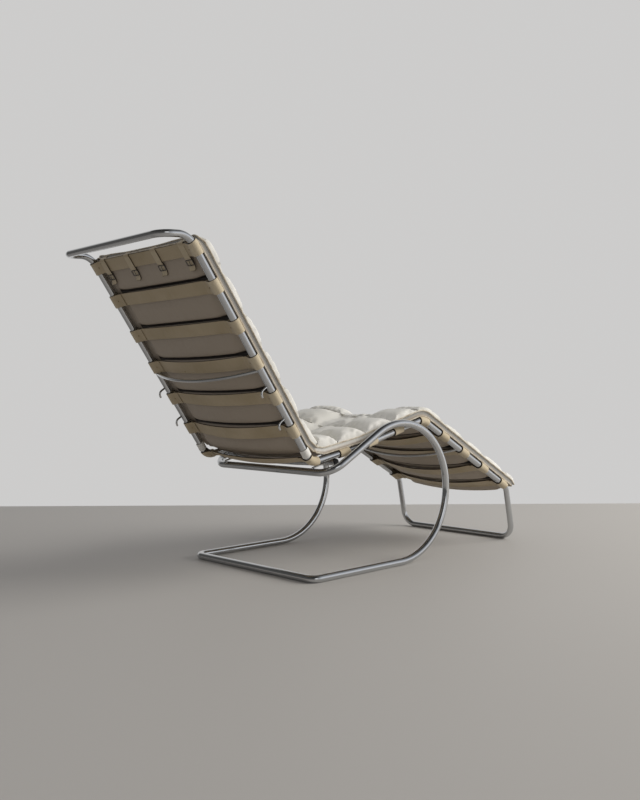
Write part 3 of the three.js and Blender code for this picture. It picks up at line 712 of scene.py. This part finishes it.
bm = bmesh.new()
bmesh.ops.create_grid(bm, x_segments=columns, y_segments=row_count, size=0.5)
top = bmesh.ops.extrude_face_region(bm, geom=bm.faces[:], use_keep_orig=True)["geom"]
bmesh.ops.translate(bm, verts=verts_in(top), vec=(0, 0, 1))
border_edges = [
    edge for edge in bm.edges if abs(edge.verts[0].co.z - edge.verts[1].co.z) > 0.5
]
bmesh.ops.subdivide_edges(bm, edges=border_edges, cuts=3, use_grid_fill=True)
bmesh.ops.recalc_face_normals(bm, faces=bm.faces[:])
seam_grime_and_shade = bm.verts.layers.float.new("seam")
groove_shadow = bm.verts.layers.float.new("groove")
lining_and_shade = bm.verts.layers.float.new("underside")
painted_border_shade = bm.verts.layers.float.new("border")
bm.verts.index_update()
held, upper, rim_levels = set(), set(), {}
for vert in bm.verts:
    column, level = vert.co.x * 2, vert.co.z
    length, roll, share = pad_row(round((vert.co.y + 0.5) * row_count))
    sideways = pad_half * math.sin(column) / math.sin(1.0)
    at_side = abs(column) > 0.999
    at_head, at_foot = length < pad_begin + same_place, length > pad_end - same_place
    near_foot = length > 1
    from_end = min(length - pad_begin, pad_end - length)
    near_seam = min(share, 1 - share) * (seams[roll + 1] - seams[roll])
    floor_height = pad_floor(sideways, length)
    crown_height = pad_crown(sideways, length, roll, share)
    wobble = noise.noise(Vector((sideways * 30, length * 30, level * 5)))
    height = floor_height + (crown_height - floor_height) * level + 0.0003 * wobble
    height -= (height - floor_height) * end_squash * math.exp(-(from_end / end_squash_reach) ** 2)
    pull = border_pull * math.sin(math.pi * level)
    if at_side:
        sideways -= math.copysign(pull, sideways)
    elif level > 0.99:
        out = abs(sideways)
        swell = soft_step((out - 0.240) / 0.012) * (1 - soft_step((out - 0.2585) / 0.0035))
        sideways += math.copysign(roll_overhang * swell * roll_bulge(share), sideways)
    from_edge = min(pad_half - abs(sideways), from_end)

    beyond_elbow = soft_step((length - elbow_seam + 0.03) / 0.03)
    on_seat = beyond_elbow * soft_step((knee_seam - 0.06 - length) / 0.05)
    if at_side:
        gather = noise.noise(Vector((length * 110, level * 2.5, sideways)))
        gather *= 0.3 + 0.7 * on_seat
        sideways += math.copysign(border_gather * gather * math.sin(math.pi * level), sideways)
    # The underside is coloured as a darker lining, and that colour also holds painted shade of the
    # hollows between the straps.
    vert[lining_and_shade] = 1.0 - level if level < 0.3 else 0.0
    # Painted shade: the border between the cords is marked to be coloured darker, as if in shade,
    # fully on the back and legs and only a little on the seat.
    vert[painted_border_shade] = 1.0 - 0.85 * on_seat if 0.2 < level < 0.8 else 0.0
    # Painted shadow: the underside along each seam's groove above its strap, and the lower part of
    # the head end, are marked to be coloured near black, as if in shadow.
    if level < 0.01:
        shadow = groove_at(length, abs(sideways))
    else:
        shadow = float(at_head and level < 0.6)
    vert[groove_shadow] = shadow * soft_step((0.238 - abs(sideways)) / 0.02)
    # Grime and painted shade: the roll seams on top and the edge along the lower cord are marked to
    # be coloured darker, partly as dirt and partly as the shade in their creases.
    on_roll_seam = soft_step(1 - near_seam / seam_mark) * (level > 0.9 and from_edge > 0.001)
    vert[seam_grime_and_shade] = max(on_roll_seam, soft_step(1 - from_edge / corded_mark) * (level < 0.1))

    sideways, length = rounded_corner(
        sideways, length, from_end, foot_corner if near_foot else head_corner,
        -1 if near_foot else 1,
    )
    if near_foot:
        drawn_in = foot_draw_in * (1 - level) * max(0.0, 1 - from_end / foot_draw_reach)
        length -= pull * at_foot + drawn_in
    else:
        length += pull * at_head
    vert.co = (sideways, length, height)
    if level > 0.99:
        upper.add(vert.index)
    if at_side or at_head or at_foot or share in (0.0, 1.0):
        held.add(vert.index)
    if (at_side or at_head or at_foot) and not 0.01 < level < 0.99:
        rim_levels[vert.index] = round(level)

# The upper cover is filled like a balloon and finds its own folds round the seams, which hold it
# down. This is done with the pad laid out flat.
filling_pressure = 4
filling_frames = 20
seat_movement, other_movement = 0.009, 0.003
home = bm.verts.layers.int.new("home")
for vert in bm.verts:
    vert[home] = vert.index
cover = bm.copy()
home = cover.verts.layers.int["home"]
loose = [vert for vert in cover.verts if vert[home] not in upper]
bmesh.ops.delete(cover, geom=loose, context="VERTS")
cover_home = [vert[home] for vert in cover.verts]
cover_mesh = bpy.data.meshes.new("cover")
cover.to_mesh(cover_mesh)
cover.free()
sewn = bpy.data.objects.new("cover", cover_mesh)
scene.collection.objects.link(sewn)
group = sewn.vertex_groups.new(name="sewn")
group.add([index for index, start in enumerate(cover_home) if start in held], 1.0, "REPLACE")
filling = sewn.modifiers.new("filling", "CLOTH")
filling.settings.quality = 5
filling.settings.use_pressure = True
filling.settings.uniform_pressure_force = filling_pressure
filling.settings.shrink_min = -0.05
filling.settings.bending_stiffness = 0.4
filling.settings.vertex_group_mass = "sewn"
filling.settings.effector_weights.gravity = 0
filling.point_cache.frame_start, filling.point_cache.frame_end = 1, filling_frames
for moment in range(1, filling_frames + 1):
    scene.frame_set(moment)
settled = sewn.evaluated_get(bpy.context.evaluated_depsgraph_get()).data
bm.verts.ensure_lookup_table()
for start, point in zip(cover_home, settled.vertices):
    moved = point.co - bm.verts[start].co
    on_seat = elbow_seam < bm.verts[start].co.y < knee_seam
    most = seat_movement if on_seat else other_movement
    if moved.length > most:
        moved *= most / moved.length
    bm.verts[start].co += moved
scene.frame_set(1)
bpy.data.objects.remove(sewn)
bpy.data.meshes.remove(cover_mesh)
bm.verts.layers.int.remove(bm.verts.layers.int["home"])

# Then it is laid on the loop. At the elbow it lifts off the strap, and the last roll of the back
# and the first of the seat press flat against each other.
before_elbow, past_elbow = 0.70, 0.90
crease_facing = (side_at(before_elbow)[1] + side_at(past_elbow)[1]).normalized()
crease_softness, crease_reach = 0.006, 0.012
elbow_lift, elbow_lift_reach = 0.015, 0.06


def laid_on_loop(flat):
    """Where a point of the flat pad comes to lie"""
    place, heading = side_at(min(flat.y, ankle_start))
    place = place + heading * max(0.0, flat.y - ankle_start)
    from_elbow = abs(flat.y - elbow_seam)
    lift = elbow_lift * soft_step(1 - from_elbow / elbow_lift_reach)
    toward_sitter = Vector((0, heading.z, -heading.y))
    spot = place + Vector((flat.x, 0, 0)) + toward_sitter * (flat.z + lift)
    way = 1 if flat.y >= elbow_seam else -1
    depth = (spot - elbow).dot(crease_facing) * way
    soft = crease_softness * min(1.0, from_elbow / crease_reach)
    return spot + crease_facing * way * ((depth + math.hypot(depth, soft)) / 2 - depth)


bm.verts.ensure_lookup_table()
rims = {0: [], 1: []}
for index, level in rim_levels.items():
    rims[level].append(bm.verts[index].co.copy())
for vert in bm.verts:
    vert.co = laid_on_loop(vert.co)

pad_hide, tree, shader = material_with("pad_hide", (0.78, 0.76, 0.70), 0.48)
tone = patches(tree, 5, 5)
pores = patches(tree, 800, 3)
wrinkles = patches(tree, 70, 7, (1, 0.6, 0.6))
hide = tinted(tree, between(tree, tone, 0, 1), (0.82, 0.80, 0.75), (0.72, 0.70, 0.63))
# Painted shade: the border colour darkens the pad's side between its cords, as if it were in shade.
for name, colour, least, most in (
    # The underside colour is partly the lining's own tone and partly painted shade of the recessed
    # panels.
    ("border", (0.33, 0.318, 0.29), 0, 0.8), ("underside", (0.38, 0.318, 0.25), 0, 1.0),
    # Painted shadow: the groove colour paints near-black shadow into the seam grooves above the
    # straps and along the head end.
    # The seam colour darkens the seams and the lower cord's edge, partly as grime and partly as
    # painted shade in the creases.
    ("seam", (0.24, 0.20, 0.15), 0, 1.0), ("groove", (0.022, 0.016, 0.012), 0.30, 0.62),
):
    mark = tree.nodes.new("ShaderNodeAttribute")
    mark.attribute_name = name
    hide = tinted(tree, between(tree, mark.outputs["Fac"], 0, 1, least, most), hide, colour)
tree.links.new(hide, shader.inputs["Base Color"])
tree.links.new(between(tree, wrinkles, 0.40, 0.58), shader.inputs["Roughness"])
grain = raised(tree, pores, 0.0003, 0.3)
tree.links.new(raised(tree, wrinkles, 0.0016, 0.35, grain), shader.inputs["Normal"])

cushion = set_piece(bm, "pad_cushion", "lounger", [pad_hide], ["pad"], 70)

cord_radius = 0.0021
end_line = pad_half - 0.0003
foot_rim, head_rim = pad_end - 0.035, pad_begin + 0.019


def round_the_pad(flat):
    """Orders a rim's points: down one side, across the foot, up the other, across the head"""
    if flat.y > foot_rim and abs(flat.x) < end_line:
        return 1, -flat.x
    if flat.y < head_rim and abs(flat.x) < end_line:
        return 3, flat.x
    return (0, flat.y) if flat.x > 0 else (2, -flat.y)


cord_hide, tree, shader = material_with("cord_hide", (0.62, 0.56, 0.45), 0.5)
rubs = patches(tree, 60, 5)
twist = patches(tree, 900, 2)
mottled(tree, shader, rubs, (0.70, 0.65, 0.54), (0.42, 0.34, 0.24))
tree.links.new(raised(tree, twist, 0.0004, 0.4), shader.inputs["Normal"])
for level, name in ((1, "pad_cord_upper"), (0, "pad_cord_lower")):
    points = [laid_on_loop(flat) for flat in sorted(rims[level], key=round_the_pad)]
    path = bpy.data.curves.new(name, "CURVE")
    path.dimensions = "3D"
    spline = path.splines.new("POLY")
    spline.points.add(len(points) - 1)
    spline.points.foreach_set("co", [value for point in points for value in (*point, 1)])
    spline.use_cyclic_u = True
    path.bevel_depth = cord_radius
    path.bevel_resolution = 2
    drawn = bpy.data.objects.new(name, path)
    scene.collection.objects.link(drawn)
    bm = bmesh.new()
    bm.from_mesh(drawn.evaluated_get(bpy.context.evaluated_depsgraph_get()).to_mesh())
    bpy.data.objects.remove(drawn)
    set_piece(bm, name, "lounger", [cord_hide], [])

# Elbow loops: two short sleeves of the pad's leather, sewn to its lower cord, that go round the
# back tubes just above the elbow and keep the pad in the corner.
loop_begin, loop_end = 0.7699, 0.7957
sleeve_radius, sleeve_thickness = 0.0128, 0.0022
sewn_ridge = 0.0022
for side, way in (("left", 1), ("right", -1)):
    bm = bmesh.new()
    place, heading = side_at(loop_begin)
    place = place + Vector((way * upper_half, 0, 0))
    ring = tube_ring(bm, sleeve_radius, place, heading)
    far_ring = verts_in(bmesh.ops.extrude_edge_only(bm, edges=ring)["geom"])
    bmesh.ops.translate(bm, verts=far_ring, vec=heading * (loop_end - loop_begin))
    lengthwise = [
        edge for edge in bm.edges if (edge.verts[0] in far_ring) != (edge.verts[1] in far_ring)
    ]
    bmesh.ops.subdivide_edges(bm, edges=lengthwise, cuts=7, use_grid_fill=True)
    sewn_side = Vector((way * 0.35, heading.z, -heading.y)).normalized()
    for vert in bm.verts:
        run = (vert.co - place).dot(heading)
        spoke = vert.co - (place + heading * run)
        toward_pad = max(0.0, spoke.normalized().dot(sewn_side))
        fold = noise.noise(Vector((spoke.x * 60, spoke.y * 60, run * 160)))
        vert.co += spoke.normalized() * (sewn_ridge * toward_pad ** 10 + 0.0005 * fold)
    sleeve = set_piece(
        bm, f"elbow_loop_{side}", "lounger", [pad_hide, cord_hide],
        [f"pad_loop_{side}"],
    )
    cut_from_hide(sleeve, sleeve_thickness, -1, 0.0008, 3)

# Ties: four strips of the strap leather, sewn to the pad's head end, taken over the first strap
# and under it, and drawn tight to the pad's back through small dark buckles.
first_strap = 0.946 * back_length
tie_way = [
    (0.0213, -0.0185), (0.0217, -0.0080), (0.0214, -0.0005), (0.0185, 0.0026), (0.0100, 0.0025),
    (-0.0080, 0.0024), (-0.0190, 0.0026), (-0.0260, 0.0016), (-0.0330, -0.0004), (-0.0420, -0.0006),
    (-0.0500, 0.0012), (-0.0575, 0.0042), (-0.0600, 0.0062),
]
tie_middles = (-0.2046, -0.0699, 0.0699, 0.2046)
tie_half_width, tie_thickness = 0.0125, 0.0024
buckle_down, buckle_behind = 0.0372, 0.0030
buckle_out, buckle_high, buckle_corner = 0.0148, 0.0078, 0.003
buckle_wire, tongue_wire = 0.0013, 0.0009
tongue_down, tongue_lift = 0.0090, (0.0004, 0.0022)
up_the_back = (head - elbow).normalized()
aged_buckle = plated("aged_buckle", (0.16, 0.15, 0.14), 0.28, 0.5)


def along_tie(share):
    """A point of a tie's way as a distance up the back and a distance behind it"""
    at = share * (len(tie_way) - 1)
    step = min(int(at), len(tie_way) - 2)
    part = at - step
    before, here, then, after = (
        Vector(tie_way[min(max(step + shift, 0), len(tie_way) - 1)]) for shift in (-1, 0, 1, 2)
    )
    return 0.5 * (
        2 * here
        + (then - before) * part
        + (2 * before - 5 * here + 4 * then - after) * part ** 2
        + (3 * here - before - 3 * then + after) * part ** 3
    )


for number, middle in enumerate(tie_middles, 1):
    bm = bmesh.new()
    bmesh.ops.create_grid(bm, x_segments=6, y_segments=54, size=0.5)
    painted_light = bm.verts.layers.float.new("painted_light")
    for vert in bm.verts:
        share = vert.co.y + 0.5
        up_back, behind = along_tie(share)
        curl = 0.6 * noise.noise(Vector((share * 3, number * 5.7, 0))) * share ** 2
        narrow = 1 - 0.25 * soft_step((share - 0.93) / 0.07)
        across = vert.co.x * 2 * tie_half_width * narrow
        # Painted light: the tie is marked to be coloured lighter, except where it bends over the
        # first strap, which stays darker, as if in shade.
        vert[painted_light] = soft_step(abs(share - 0.24) / 0.1) * 0.5
        vert.co = on_back(first_strap + up_back, behind + curl * across * 0.4)
        vert.co.x = middle + across + 0.010 * curl * share
    tie = set_piece(
        bm, f"tie_strip_{number}", "lounger", [saddle_leather, stained_edge],
        [f"tie_{number}"],
    )
    cut_from_hide(tie, tie_thickness, 0, 0.0004, 2)

    bm = bmesh.new()
    buckle_middle = on_back(first_strap - buckle_down, buckle_behind) + Vector((middle, 0, 0))
    corners = [
        buckle_middle + Vector((out * buckle_out, 0, 0)) + up_the_back * high * buckle_high
        for out, high in ((0, 1), (1, 1), (1, -1), (-1, -1), (-1, 1), (0, 1))
    ]
    runs = bend_runs(corners, [0, *[buckle_corner] * 4, 0])
    wire = tube_ring(bm, buckle_wire, runs[0]["start"], runs[0]["heading"], 10)
    draw_along(bm, wire, runs, math.radians(15))
    tongue = bend_runs(
        [
            buckle_middle + up_the_back * buckle_high + away_from_back * tongue_lift[0],
            buckle_middle - up_the_back * tongue_down + away_from_back * tongue_lift[1],
        ],
        [0, 0],
    )
    pin = tube_ring(bm, tongue_wire, tongue[0]["start"], tongue[0]["heading"], 8)
    tip = draw_along(bm, pin, tongue)
    bmesh.ops.edgeloop_fill(bm, edges=tip)
    bmesh.ops.edgeloop_fill(bm, edges=pin)
    bmesh.ops.remove_doubles(bm, verts=bm.verts[:], dist=0.00005)
    set_piece(
        bm, f"tie_buckle_{number}", "lounger", [aged_buckle],
        [f"buckle_{number}"],
    )

# Floor and light. The floor is pale and plain and ends a little way behind the chair as the camera
# sees it, and one wide soft window lights the chair from the foot side. Its lamp doesn't show in
# the chrome, which mirrors the room instead.
floor_start, floor_half = 4.38, 12
floor_turn = math.radians(5.5)
window_width, window_height, window_power = 4.2, 3.4, 335
window_place, window_aim = Vector((-3.6, -4.0, 2.7)), Vector((0, 0, 0.35))
floor_mesh = bpy.data.meshes.new("floor")
bm = bmesh.new()
bmesh.ops.create_grid(bm, x_segments=1, y_segments=1, size=1)
bm.to_mesh(floor_mesh)
bm.free()
floor = bpy.data.objects.new("floor", floor_mesh)
scene.collection.objects.link(floor)
below_camera = Vector((eye.x, eye.y, 0))
floor.matrix_world = (
    Matrix.Translation(below_camera + Vector((ahead.x, ahead.y, 0)) * floor_start)
    @ Matrix.Rotation(yaw - floor_turn, 4, "Z")
    @ Matrix.Translation((0, floor_half, 0))
    @ Matrix.Diagonal((floor_half, floor_half, 1, 1))
)
floor_paint, tree, shader = material_with("floor_paint", (0.52, 0.495, 0.46), 0.6)
mottled(tree, shader, patches(tree, 1.4, 5), (0.50, 0.478, 0.445), (0.54, 0.516, 0.48))
floor_mesh.materials.append(floor_paint)

window = bpy.data.lights.new("window", "AREA")
window.shape = "RECTANGLE"
window.size = window_width
window.size_y = window_height
window.energy = window_power
window.color = (1.0, 0.985, 0.965)
window_object = bpy.data.objects.new("window", window)
window_object.visible_glossy = False
scene.collection.objects.link(window_object)
window_object.matrix_world = (
    Matrix.Translation(window_place)
    @ (window_aim - window_place).to_track_quat("-Z", "Y").to_matrix().to_4x4()
)

# Room. The camera, metal and anything clear see one and the same room: pale behind the chair,
# cool and bright on the window's side and dark elsewhere, with a small bright pane and a dimmer
# ceiling. Apart from that it lights the chair evenly, as a grey room would.
backdrop = (0.61, 0.605, 0.60)
window_side = (-0.67, -0.74, 0.0)
dark_wall, bright_wall = (0.10, 0.098, 0.095), (0.80, 0.82, 0.86)
pane_direction = (-0.90, 0.32, 0.29)
even_light = (0.35, 0.35, 0.36)
world = bpy.data.worlds.new("room")
world.use_nodes = True
scene.world = world
tree = world.node_tree
sky = tree.nodes.new("ShaderNodeTexCoord").outputs["Generated"]


def toward(direction, low, high):
    """How far the room is looked at in a direction, from 0 to 1"""
    facing = tree.nodes.new("ShaderNodeVectorMath")
    facing.operation = "DOT_PRODUCT"
    facing.inputs[1].default_value = direction
    tree.links.new(sky, facing.inputs[0])
    return between(tree, facing.outputs["Value"], 0, 1, low, high)


walls = tinted(tree, toward(window_side, 0.30, 0.95), dark_wall, bright_wall)
ceiling = tinted(tree, toward((0, 0, 1), 0.25, 0.80), (1, 1, 1), (0.40, 0.40, 0.40))
dimmed = tree.nodes.new("ShaderNodeMix")
dimmed.data_type = "RGBA"
dimmed.blend_type = "MULTIPLY"
dimmed.inputs["Factor"].default_value = 1
tree.links.new(walls, dimmed.inputs["A"])
tree.links.new(ceiling, dimmed.inputs["B"])
seen = tinted(tree, toward(pane_direction, 0.955, 0.975), dimmed.outputs["Result"], (1, 1, 1))
seen = tinted(tree, toward((ahead.x, ahead.y, 0.0), 0.45, 0.75), seen, backdrop)
light_path = tree.nodes.new("ShaderNodeLightPath")
lit = even_light
for ray in ("Is Camera Ray", "Is Glossy Ray", "Is Transmission Ray"):
    lit = tinted(tree, light_path.outputs[ray], lit, seen)
tree.links.new(lit, tree.nodes["Background"].inputs["Color"])
scene.view_settings.view_transform = "Standard"
